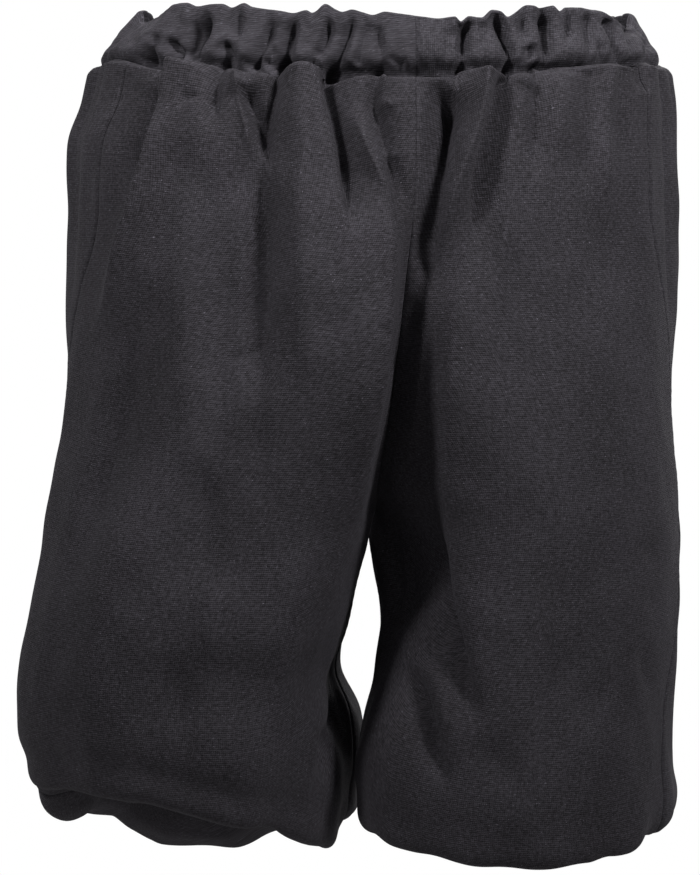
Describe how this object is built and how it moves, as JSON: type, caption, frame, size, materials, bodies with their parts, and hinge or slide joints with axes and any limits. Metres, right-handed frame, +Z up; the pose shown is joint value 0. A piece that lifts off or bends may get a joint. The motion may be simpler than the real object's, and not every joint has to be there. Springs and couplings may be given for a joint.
{
  "type": "trousers",
  "caption": "Baggy knee-length trousers with a gathered elastic waistband and legs that blouse over hidden elastic hems, filled out as worn, hollow and open at both ends.",
  "frame": {"origin": "middle of the waist opening, where the wearer's waist holds the trousers up, level with the middle of the waistband's front", "axes": "+Z up, the front faces -Y, +X is the wearer's left"},
  "size_m": [0.412, 0.3045, 0.5456],
  "materials": {
    "body_canvas": "dull plain-woven cotton canvas, charcoal",
    "waistband_canvas": "the same canvas, doubled over an elastic",
    "casing_canvas": "the same canvas, doubled over an elastic"
  },
  "bodies": {
    "root": {"waistband": "waistband_canvas", "front_right": "body_canvas", "front_left": "body_canvas", "back_right": "body_canvas", "back_left": "body_canvas", "hem_casing_right": "casing_canvas", "hem_casing_left": "casing_canvas"}
  },
  "joints": []
}
